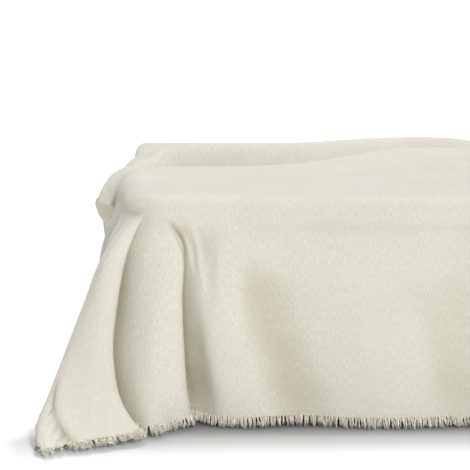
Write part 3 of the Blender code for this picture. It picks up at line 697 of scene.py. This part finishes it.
# %% [markdown]
# Each fringe is the cloth's own yarn, some thousands of crimped ends of unlike length. Hair
# curves would be easy to comb, but a mesh is what every program can read, so each strand is a
# thin three-sided tube, and all of a hem's strands are one mesh. A strand leaves the hem along the
# cloth and bends as it was crimped in the weave, and where it would meet the floor it lies along it.

# %% Strands of yarn
STRAND_STEPS = 6
STRAND_SIDES = 3
FLOOR_REST = 0.0009
FLOOR_PLAY = 0.0006
FLOOR_RUN = 0.9
CRIMP = (0.0004, 0.0011)
# A way that no strand takes, to measure their sides from
ASKEW = (0.31, 0.77, 0.55)


def hem_frames(u, v, step_u, step_v):
    """Places on a hem, with the ways along the hem, off it and out from the cloth's face."""
    hem = cloth_point(u, v)
    beyond = unit(cloth_point(u + step_u, v + step_v) - hem)
    along = unit(np.gradient(hem, axis=0))
    return hem, along, beyond, unit(np.cross(beyond, along))


def strand_path(chance, root, tip, along, face, curl):
    """The places that one strand passes from root towards tip, crimped, and kept off the floor."""
    crimp = chance.uniform(*CRIMP) * curl
    phase = chance.uniform(0, 2 * math.pi)
    turns = chance.uniform(0.9, 1.8) + 0.25 * curl
    length = np.linalg.norm(tip - root)
    places = [root]
    for step in range(1, STRAND_STEPS + 1):
        share = step / STRAND_STEPS
        angle = phase + turns * 2 * math.pi * share
        wave = along * math.sin(angle) + face * math.cos(0.85 * angle)
        place = root + (tip - root) * share + wave * crimp * (0.35 + 0.65 * share)
        if place[2] < FLOOR_REST:
            way = place - places[-1]
            flat = math.hypot(way[0], way[1]) or TINY
            run = length / STRAND_STEPS * FLOOR_RUN
            place = places[-1] + np.array([way[0] / flat * run, way[1] / flat * run, 0])
            place[2] = FLOOR_REST + FLOOR_PLAY * chance.random()
        places.append(place)
    return np.array(places)


def tube_rings(path, radius, taper):
    """Rings of points round a path, as one array: step, side, x y z."""
    way = unit(np.gradient(path, axis=0))
    side = unit(np.cross(way, ASKEW))
    other = np.cross(way, side)
    angle = np.arange(STRAND_SIDES) * 2 * math.pi / STRAND_SIDES
    thick = radius * (1 - taper * np.linspace(0, 1, len(path)) ** 2)
    cosine, sine = np.cos(angle)[None, :, None], np.sin(angle)[None, :, None]
    ring = cosine * side[:, None, :] + sine * other[:, None, :]
    return path[:, None, :] + ring * thick[:, None, None]


def tubes_object(name, tubes, tones, material):
    """Joins tubes of equal form into one mesh with closed ends. A UV map holds each one's tone."""
    steps, sides = tubes[0].shape[:2]
    points = np.concatenate([tube.reshape(-1, 3) for tube in tubes])
    faces = []
    for ring in range(steps - 1):
        for side in range(sides):
            a, b = ring * sides + side, ring * sides + (side + 1) % sides
            faces.append((a, b, b + sides, a + sides))
    ends = [tuple(range(sides))[::-1], tuple(range((steps - 1) * sides, steps * sides))]
    every = [[i + n * steps * sides for i in face] for n in range(len(tubes)) for face in faces + ends]
    mesh = bpy.data.meshes.new(name)
    mesh.from_pydata(points.tolist(), [], every)
    layer = mesh.uv_layers.new(name="yarn")
    corner = np.empty(len(mesh.loops), np.int32)
    mesh.loops.foreach_get("vertex_index", corner)
    tone = np.repeat(np.asarray(tones), steps * sides)[corner]
    reach = np.tile(np.repeat(np.linspace(0, 1, steps), sides), len(tubes))[corner]
    layer.uv.foreach_set("vector", np.stack([tone, reach], axis=1).astype(np.float32).ravel())
    mesh.shade_smooth()
    mesh.materials.append(material)
    piece = bpy.data.objects.new(name, mesh)
    bpy.context.scene.collection.objects.link(piece)
    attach(piece, "root")
    return piece


print("strand steps:", STRAND_STEPS, "sides:", STRAND_SIDES)

# %% [markdown]
# Loose yarn is a little paler than the cloth, because nothing lies over it, and each strand takes
# the light its own way. The tone that each strand was given in its UV map sets its shade, and a
# wave along it stands for the twist.

# %% The yarn's finish
YARN_DARK = (0.860, 0.790, 0.600)
YARN_LIGHT = (1.000, 0.980, 0.840)
TWISTS = 90


def yarn_material():
    material, shader, start = start_material("fringe_yarn", 0.9, sheen=0.2)
    place = start.node("ShaderNodeUVMap", 0, {"uv_map": "yarn"})
    tone = place.node("ShaderNodeSeparateXYZ", 0, None, Vector=place)
    reach = tone.other(1)
    twist = (reach * TWISTS + tone * 40).sine()
    shade = (tone * 0.8 + reach * 0.22 + twist * 0.06).clamp(0, 1)
    finish_material(shader, shade.mix(YARN_DARK, YARN_LIGHT), twist, 0.0003, 0.5)
    return material


fringe_yarn = yarn_material()
print("yarn material:", fringe_yarn.name)

# %% [markdown]
# A real fringe has a tuft at each small group of warp ends, and the groups part a little, which
# gives the uneven edge. So the strands are set out in tufts, and each tuft has its own lean and
# its own length. The foot's fringe hangs close to the floor, nearly straight along the panel and
# looser, shorter and more curled towards both corners, where it lies on the floor. The head's lies
# on the mattress and hangs down at both sides.

# %% The two fringes
FRINGE_LENGTH = 0.024
TUFT_PITCH = 0.0035
STRANDS_IN_TUFT = 5
STRAND_RADII = (0.00055, 0.00085)
STRAND_TAPER = 0.55
LOOSE_FROM = 0.62
LOOSE_AT_HEAD = 0.5
HEM_MARGIN = 0.003
HEM_STEP = 0.005
ROOT_DEPTH = 0.003


def make_fringe(name, node, foot, seed):
    chance = random.Random(seed)
    reach = CLOTH_WIDTH / 2 - HEM_MARGIN
    tufts = round(2 * reach / TUFT_PITCH)
    u = np.linspace(-reach, reach, tufts)
    v = np.full(tufts, FOOT_HEM_V if foot else HEAD_HEM_V)
    side = np.clip(np.abs(u) - CORE_X, 0, None) if foot else np.zeros(tufts)
    off = -FOOT_REACH if foot else FOOT_REACH
    step = HEM_STEP / np.hypot(side, off)
    hem, along, beyond, face = hem_frames(u, v, np.sign(u) * side * step, off * step)
    to_corner = np.clip((np.abs(u) - LOOSE_FROM) / (reach - LOOSE_FROM), 0, 1)
    loose = to_corner if foot else np.full(tufts, LOOSE_AT_HEAD)
    tubes, tones = [], []
    for i in range(tufts):
        curl = 1 + 3.2 * loose[i]
        length = FRINGE_LENGTH * chance.uniform(0.80, 1.12) * (1 - 0.20 * loose[i])
        lean = chance.gauss(0, 0.13 + 0.26 * loose[i])
        out = chance.uniform(-0.10, 0.42) + 0.55 * loose[i]
        way = unit(beyond[i] + along[i] * lean + face[i] * out)
        tone = chance.uniform(-0.1, 0.35)
        for _ in range(STRANDS_IN_TUFT):
            spread = chance.uniform(-0.40, 0.40) * (1 + 0.8 * loose[i])
            root = hem[i] - beyond[i] * ROOT_DEPTH * chance.uniform(0.1, 1.5)
            root = root + along[i] * spread * TUFT_PITCH + face[i] * chance.uniform(-0.0009, 0.0017)
            tip = hem[i] + way * length * chance.uniform(0.74, 1.10)
            stray = chance.gauss(0, 0.0015 + 0.0016 * loose[i])
            tip = tip + along[i] * (spread * 0.8 * TUFT_PITCH + stray)
            tip = tip + face[i] * chance.gauss(0, 0.0016)
            path = strand_path(chance, root, tip, along[i], face[i], curl)
            tubes.append(tube_rings(path, chance.uniform(*STRAND_RADII), STRAND_TAPER))
            tones.append(tone + chance.uniform(0, 0.7))
    fringe = tubes_object(name, tubes, tones, fringe_yarn)
    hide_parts(node)
    print(name, "strands:", len(tubes))
    return fringe


foot_fringe = make_fringe("foot_fringe", "fringe_foot", True, 11)
head_fringe = make_fringe("head_fringe", "fringe_head", False, 12)

# %% [markdown]
# Beside each fringe a line of stitches keeps the weave from coming undone, and the side hems are
# sewn too. A stitch is a short thread that dives into the cloth at both ends. It is made as a bent
# tube of four places, and a loop sets them along the hems at one even pitch.

# %% Stitches along the hems
STITCH_PITCH = 0.0052
STITCH_LENGTH = 0.0038
STITCH_RADIUS = 0.00042
STITCH_BENDS = ((-0.5, -0.0005), (-0.25, 0.0003), (0.25, 0.0003), (0.5, -0.0005))
STITCH_STEP = 0.002
FRINGE_SEAM = 0.014
SIDE_SEAM = 0.015
SIDE_SEAM_END = 0.012
SEAM_REACH = 0.74


def stitch_tubes(chance, u, v, du, dv):
    """One stitch at each flat place, along the way (du, dv) of the cloth."""
    here = cloth_point(u, v)
    ahead = unit(cloth_point(u + du * STITCH_STEP, v + dv * STITCH_STEP) - here)
    aside = unit(cloth_point(u - dv * STITCH_STEP, v + du * STITCH_STEP) - here)
    out = unit(np.cross(ahead, aside))
    tubes = []
    for place, way, face in zip(here, ahead, out):
        places = []
        for share, rise in STITCH_BENDS:
            places.append(place + way * STITCH_LENGTH * share + face * (CLOTH_THICKNESS / 2 + rise))
        tubes.append(tube_rings(np.array(places), STITCH_RADIUS * chance.uniform(0.85, 1.15), 0))
    return tubes


def make_stitches():
    chance = random.Random(21)
    across = np.arange(-SEAM_REACH, SEAM_REACH, STITCH_PITCH)
    down = np.arange(FOOT_HEM_V + SIDE_SEAM_END, HEAD_HEM_V - SIDE_SEAM_END, STITCH_PITCH)
    tubes = []
    for v in (FOOT_HEM_V + FRINGE_SEAM, HEAD_HEM_V - FRINGE_SEAM):
        tubes += stitch_tubes(chance, across, np.full(across.shape, v), 1, 0)
    for u in (-CLOTH_WIDTH / 2 + SIDE_SEAM, CLOTH_WIDTH / 2 - SIDE_SEAM):
        tubes += stitch_tubes(chance, np.full(down.shape, u), down, 0, 1)
    tones = [chance.uniform(0.7, 1.0) for _ in tubes]
    stitches = tubes_object("hem_stitches", tubes, tones, fringe_yarn)
    print("stitches:", len(tubes))
    return stitches


stitches = make_stitches()

# %% [markdown]
# The mattress and its base are only seen at the head and under the side hems, and are kept plain.
# The mattress has a knitted cover with a small lozenge quilting, and the base a coarse woven
# cloth. Neither has a flat map, so these patterns are read from the place in space, which suits
# blocks whose faces lie along the axes.

# %% Covers of the mattress and the base
def block_material(name, dark, light, thread, quilt, distance):
    material, shader, start = start_material(name, 0.88, sheen=0.1)
    place = start.node("ShaderNodeTexCoord", 3)
    x = place.node("ShaderNodeSeparateXYZ", 0, None, Vector=place)
    y, z = x.other(1), x.other(2)
    cloud = start.node("ShaderNodeTexNoise", 0, None, Vector=place, Scale=9.0, Detail=3.0)
    grain = start.node("ShaderNodeTexNoise", 0, None, Vector=place, Scale=420.0, Detail=1.0)
    threads = ((x + y) * thread).sine() * ((z + x * 0.15 - y * 0.15) * thread).sine()
    pads = ((x + y + z) * quilt).sine() * ((x + y - z) * quilt).sine()
    tone = (cloud * 0.5 + grain * 0.35 + threads * 0.08 + 0.05).clamp(0, 1)
    height = threads * 0.12 + grain * 0.3 + pads * 1.2
    finish_material(shader, tone.mix(dark, light), height, distance, 0.6)
    return material


def dress_node(name, material):
    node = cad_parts[name]
    node.data.materials.clear()
    node.data.materials.append(material)
    print(name, "wears", material.name)


knit = block_material("mattress_knit", (0.66, 0.65, 0.61), (0.84, 0.83, 0.80), 1900, 62, 0.0016)
dress_node("mattress", knit)
coarse = block_material("base_weave", (0.27, 0.25, 0.22), (0.50, 0.47, 0.42), 1100, 0, 0.0010)
dress_node("bed_base", coarse)

# %% [markdown]
# A mattress is closed by a tape sewn round its two rims. Only the head end of it shows, past the
# bedspread's hem, so the tape is built there: a curve that runs round the head with a round bevel.

# %% Tape round the head of the mattress
TAPE_RADIUS = 0.0042
TAPE_OUT = 0.001
TAPE_START_Y = 0.956
TAPE_HEIGHTS = {"upper": MATTRESS_TOP - MATTRESS_ROUNDING, "lower": MATTRESS_BOTTOM + MATTRESS_ROUNDING}
TAPE_STEPS = 9


def head_path(z):
    """Places round the head end of the mattress at one height."""
    radius = CORNER_RADIUS + TAPE_OUT
    first = math.asin((TAPE_START_Y - CORE_Y) / radius)
    angles = np.linspace(first, math.pi / 2, TAPE_STEPS)
    places = []
    for half in (-1, 1):
        arc = [(half * (CORE_X + radius * math.cos(a)), CORE_Y + radius * math.sin(a), z) for a in angles]
        places += arc if half < 0 else arc[::-1]
    return places


def make_tape(name, z):
    curve = bpy.data.curves.new(name, "CURVE")
    curve.dimensions = "3D"
    line = curve.splines.new("POLY")
    places = head_path(z)
    line.points.add(len(places) - 1)
    for point, place in zip(line.points, places):
        point.co = (*place, 1)
    curve.bevel_depth = TAPE_RADIUS
    curve.bevel_resolution = 3
    curve.use_fill_caps = True
    tape = bpy.data.objects.new(name, curve)
    bpy.context.scene.collection.objects.link(tape)
    tape.data.materials.append(tape_cloth)
    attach(tape, "root")
    return tape


tape_cloth = block_material("tape_cloth", (0.60, 0.58, 0.53), (0.78, 0.76, 0.71), 2400, 0, 0.0006)
for rim, height in TAPE_HEIGHTS.items():
    make_tape(f"mattress_tape_{rim}", height)
    print(rim, "tape at", round(height, 3))

# %% [markdown]
# The light is that of a studio: a dim room with a bright wall behind the bed, a large soft light
# high in front and a little to the right, and a second one high above and behind, which lights the
# top. The folds' left sides keep a gentle shade. The floor is plain and pale. It is painted darker
# under the foot hem, where little light would reach, and it glows away from the bed, so that it
# runs into the white behind. Both are ramps along the two axes of the floor.

# %% Floor and light
FLOOR_DARK = (0.62, 0.618, 0.60)
FLOOR_LIGHT = (0.65, 0.648, 0.63)
FLOOR_PAINTED_SHADOW = (0.16, 0.158, 0.15)
FLOOR_GLOW = (0.5, 0.5, 0.5)
WALL_NEAR = (1.0, 0.955, 0.85)
WALL_BEHIND = (1.0, 1.0, 1.0)
SUN_COLOUR = (0.965, 0.990, 1.09)


def make_floor():
    bpy.ops.mesh.primitive_plane_add(size=30, location=(0, 0, 0))
    floor = bpy.context.object
    floor.name = "studio_floor"
    material, shader, start = start_material("floor_paint", 0.9)
    place = start.node("ShaderNodeTexCoord", 3)
    cloud = start.node("ShaderNodeTexNoise", 0, None, Vector=place, Scale=1.3, Detail=2.0)
    east = start.node("ShaderNodeSeparateXYZ", 0, None, Vector=place)
    north = east.other(1)
    # A painted shadow: the floor is darker in a band under the foot hem.
    under = north.ramp(-1.1727, -1.0818) * north.ramp(-0.8, -0.8833)
    under = under * east.ramp(-0.85, -0.7667) * east.ramp(0.85, 0.7667)
    colour = under.mix(cloud.mix(FLOOR_DARK, FLOOR_LIGHT), FLOOR_PAINTED_SHADOW)
    finish_material(shader, colour, cloud, 0.0005, 0.1)
    # Painted light: the floor glows away from the bed, which washes out the bed's own shadows there.
    beside = (east.ramp(-0.8, -0.9) + east.ramp(0.8, 0.9)) * north.ramp(-1.175, -1.05)
    beyond = north.ramp(-1.2, -1.4) + north.ramp(1.04, 1.24)
    far = east.ramp(-0.93, -1.03) + east.ramp(0.93, 1.03)
    glow = (beside + beyond + far).clamp(0, 1).mix((0, 0, 0), FLOOR_GLOW)
    glow.tree.links.new(glow.socket, shader.inputs["Emission Color"])
    shader.inputs["Emission Strength"].default_value = 1.0
    floor.data.materials.append(material)
    return floor


def light_room(backdrop, walls, ceiling):
    """A dim warm room with a bright white wall behind the bed and a lighter ceiling."""
    world = bpy.data.worlds.new("studio_room")
    bpy.context.scene.world = world
    world.use_nodes = True
    start = Wire(world.node_tree, None)
    way = start.node("ShaderNodeTexCoord", 0)
    right = way.node("ShaderNodeSeparateXYZ", 0, None, Vector=way)
    behind = right.other(1).ramp(0.48, 0.88)
    above = right.other(2).clamp(0, 1)
    strength = above * (ceiling - walls) + walls * (right * 0.8 + 1)
    strength = strength + behind * (backdrop - strength)
    room = world.node_tree.nodes["Background"]
    world.node_tree.links.new(behind.mix(WALL_NEAR, WALL_BEHIND).socket, room.inputs["Color"])
    world.node_tree.links.new(strength.socket, room.inputs["Strength"])


def make_sun(name, azimuth, elevation, width, power):
    """A wide soft light from far off. Azimuth is degrees to the right of the foot, seen from it."""
    data = bpy.data.lights.new(name, "SUN")
    data.angle = math.radians(width)
    data.energy = power
    data.color = SUN_COLOUR
    light = bpy.data.objects.new(name, data)
    bpy.context.scene.collection.objects.link(light)
    turn, rise = math.radians(azimuth), math.radians(elevation)
    way = Vector((math.sin(turn) * math.cos(rise), -math.cos(turn) * math.cos(rise), math.sin(rise)))
    light.rotation_euler = way.to_track_quat("Z", "Y").to_euler()


bpy.context.scene.view_settings.view_transform = "Standard"
make_floor()
light_room(1.04, 0.10, 0.36)
make_sun("key_light", 22, 36, 10, 2.36)
make_sun("top_light", 172, 69, 12, 1.62)

# %% [markdown]
# The camera stands in front of the left corner of the foot, a little above the bed, with a long
# lens. It looks slightly to the right and down, and a small lens shift sets the bed in the frame
# without tilting its edges.

# %% Camera
CAMERA_PLACE = (-0.623, -3.339, 0.837)
CAMERA_YAW = 2.03
CAMERA_PITCH = 6.53
CAMERA_ROLL = 0.32
CAMERA_LENS = 73.8
CAMERA_SHIFT = (0.1, -0.1)
SENSOR_WIDTH = 36


def make_camera():
    data = bpy.data.cameras.new("camera")
    data.lens = CAMERA_LENS
    data.sensor_width = SENSOR_WIDTH
    data.shift_x, data.shift_y = CAMERA_SHIFT
    camera = bpy.data.objects.new("camera", data)
    bpy.context.scene.collection.objects.link(camera)
    camera.location = CAMERA_PLACE
    yaw, pitch = math.radians(CAMERA_YAW), math.radians(CAMERA_PITCH)
    forward = (math.sin(yaw) * math.cos(pitch), math.cos(yaw) * math.cos(pitch), -math.sin(pitch))
    camera.rotation_euler = Vector(forward).to_track_quat("-Z", "Y").to_euler()
    camera.rotation_euler.rotate_axis("Z", math.radians(CAMERA_ROLL))
    bpy.context.scene.camera = camera
    return camera


camera = make_camera()
print("camera at", CAMERA_PLACE, "lens", CAMERA_LENS)
